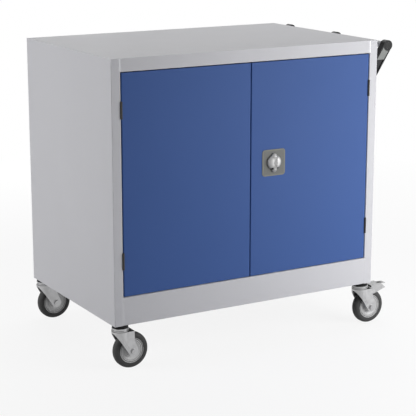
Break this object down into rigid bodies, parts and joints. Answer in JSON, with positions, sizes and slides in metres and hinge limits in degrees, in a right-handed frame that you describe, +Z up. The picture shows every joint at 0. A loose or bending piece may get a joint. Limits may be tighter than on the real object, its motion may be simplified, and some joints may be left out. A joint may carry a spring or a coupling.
{
  "type": "mobile cupboard",
  "caption": "Steel tool cupboard on swivel casters, with two flush hinged doors, a turning rod lock, adjustable shelves and a push handle on one side.",
  "frame": {"origin": "on the floor, under the middle of the whole outline", "axes": "+Z up, -Y towards the doors, +X towards the side with the handle"},
  "size_m": [1.0735, 0.6755, 1],
  "materials": {
    "body_paint": "light grey powder coat, fine orange peel",
    "door_paint": "blue powder coat, fine orange peel",
    "chassis_paint": "grey powder coat",
    "hinge_steel": "dark plated steel",
    "zinc_steel": "bright zinc plate",
    "caster_zinc": "zinc plated pressing",
    "plate_steel": "satin grey metal",
    "knob_chrome": "polished chrome",
    "bracket_black": "moulded black nylon",
    "inlay_grey": "moulded pale grey",
    "cap_grey": "moulded dark grey",
    "tube_paint": "light grey powder coat",
    "hub_grey": "moulded grey nylon",
    "tyre_rubber": "dark grey solid rubber",
    "bumper_rubber": "soft black rubber"
  },
  "bodies": {
    "cabinet": {"side_left": "body_paint", "side_right": "body_paint", "top_panel": "body_paint", "back_panel": "body_paint", "base_tray": "body_paint", "plinth": "body_paint", "chassis_channels": "chassis_paint", "shelf_lower": "body_paint", "shelf_upper": "body_paint", "shelf_strips": "body_paint", "shelf_clips": "zinc_steel", "frame_hinge_leaves": "hinge_steel", "hinge_pins": "zinc_steel", "handle_bracket_front": "bracket_black", "handle_bracket_middle": "bracket_black", "handle_bracket_rear": "bracket_black", "handle_inlays": "inlay_grey", "handle_tube": "tube_paint", "handle_end_caps": "cap_grey", "handle_bolts": "zinc_steel", "caster_races": "caster_zinc", "caster_spacers": "bracket_black", "caster_kingbolts": "zinc_steel"},
    "left_door": {"door_left": "door_paint", "door_left_stiffener": "door_paint", "door_left_hinge_leaves": "hinge_steel", "door_left_bumpers": "bumper_rubber", "cam_keeper": "zinc_steel"},
    "right_door": {"door_right": "door_paint", "door_right_stiffener": "door_paint", "door_right_hinge_leaves": "hinge_steel", "door_right_bumpers": "bumper_rubber", "lock_plate": "plate_steel", "lock_case": "zinc_steel", "rod_guides": "zinc_steel"},
    "knob": {"lock_knob": "knob_chrome", "lock_spindle": "zinc_steel", "lock_pinion": "zinc_steel", "lock_cam": "zinc_steel"},
    "key": {"key_plug": "knob_chrome"},
    "rod_up": {"upper_rod": "zinc_steel"},
    "rod_down": {"lower_rod": "zinc_steel"},
    "fork_front_left": {"fork_front_left": "caster_zinc", "axle_front_left": "zinc_steel"},
    "wheel_front_left": {"hub_front_left": "hub_grey", "tyre_front_left": "tyre_rubber"},
    "fork_front_right": {"fork_front_right": "caster_zinc", "axle_front_right": "zinc_steel"},
    "wheel_front_right": {"hub_front_right": "hub_grey", "tyre_front_right": "tyre_rubber"},
    "pedal_front": {"brake_pedal_front": "caster_zinc"},
    "fork_rear_left": {"fork_rear_left": "caster_zinc", "axle_rear_left": "zinc_steel"},
    "wheel_rear_left": {"hub_rear_left": "hub_grey", "tyre_rear_left": "tyre_rubber"},
    "fork_rear_right": {"fork_rear_right": "caster_zinc", "axle_rear_right": "zinc_steel"},
    "wheel_rear_right": {"hub_rear_right": "hub_grey", "tyre_rear_right": "tyre_rubber"},
    "pedal_rear": {"brake_pedal_rear": "caster_zinc"}
  },
  "joints": [
    {"name": "left_door_hinge", "type": "hinge", "parent": "cabinet", "child": "left_door", "pos_m": [-0.50345, -0.32075, 0.6], "axis": [0, 0, -1], "range_deg": [0, 170]},
    {"name": "right_door_hinge", "type": "hinge", "parent": "cabinet", "child": "right_door", "pos_m": [0.42995, -0.32075, 0.6], "axis": [0, 0, 1], "range_deg": [0, 170]},
    {"name": "knob_turn", "type": "hinge", "parent": "right_door", "child": "knob", "pos_m": [0.05155, -0.31975, 0.6221], "axis": [0, 1, 0], "range_deg": [0, 90]},
    {"name": "key_turn", "type": "hinge", "parent": "knob", "child": "key", "pos_m": [0.05155, -0.31975, 0.6221], "axis": [0, 1, 0], "range_deg": [0, 90]},
    {"name": "upper_rod_slide", "type": "slide", "parent": "right_door", "child": "rod_up", "axis": [0, 0, 1], "range_m": [0, 0.01509]},
    {"name": "lower_rod_slide", "type": "slide", "parent": "right_door", "child": "rod_down", "axis": [0, 0, -1], "range_m": [0, 0.01509]},
    {"name": "swivel_front_left", "type": "hinge", "parent": "cabinet", "child": "fork_front_left", "pos_m": [-0.50675, -0.29575, 0.129], "axis": [0, 0, 1], "continuous": true},
    {"name": "spin_front_left", "type": "hinge", "parent": "fork_front_left", "child": "wheel_front_left", "pos_m": [-0.47275, -0.29575, 0.06], "axis": [0, 1, 0], "continuous": true},
    {"name": "swivel_front_right", "type": "hinge", "parent": "cabinet", "child": "fork_front_right", "pos_m": [0.43325, -0.29575, 0.129], "axis": [0, 0, 1], "continuous": true},
    {"name": "spin_front_right", "type": "hinge", "parent": "fork_front_right", "child": "wheel_front_right", "pos_m": [0.46725, -0.29575, 0.06], "axis": [0, 1, 0], "continuous": true},
    {"name": "brake_front", "type": "hinge", "parent": "fork_front_right", "child": "pedal_front", "pos_m": [0.47425, -0.29575, 0.116], "axis": [0, 1, 0], "range_deg": [0, 12]},
    {"name": "swivel_rear_left", "type": "hinge", "parent": "cabinet", "child": "fork_rear_left", "pos_m": [-0.50675, 0.30625, 0.129], "axis": [0, 0, 1], "continuous": true},
    {"name": "spin_rear_left", "type": "hinge", "parent": "fork_rear_left", "child": "wheel_rear_left", "pos_m": [-0.47275, 0.30625, 0.06], "axis": [0, 1, 0], "continuous": true},
    {"name": "swivel_rear_right", "type": "hinge", "parent": "cabinet", "child": "fork_rear_right", "pos_m": [0.43325, 0.30625, 0.129], "axis": [0, 0, 1], "continuous": true},
    {"name": "spin_rear_right", "type": "hinge", "parent": "fork_rear_right", "child": "wheel_rear_right", "pos_m": [0.46725, 0.30625, 0.06], "axis": [0, 1, 0], "continuous": true},
    {"name": "brake_rear", "type": "hinge", "parent": "fork_rear_right", "child": "pedal_rear", "pos_m": [0.47425, 0.30625, 0.116], "axis": [0, 1, 0], "range_deg": [0, 12]}
  ],
  "couplings": [
    {"joint": "upper_rod_slide", "follows": "knob_turn", "m_per_rad": 0.0096},
    {"joint": "lower_rod_slide", "follows": "knob_turn", "m_per_rad": 0.0096}
  ]
}
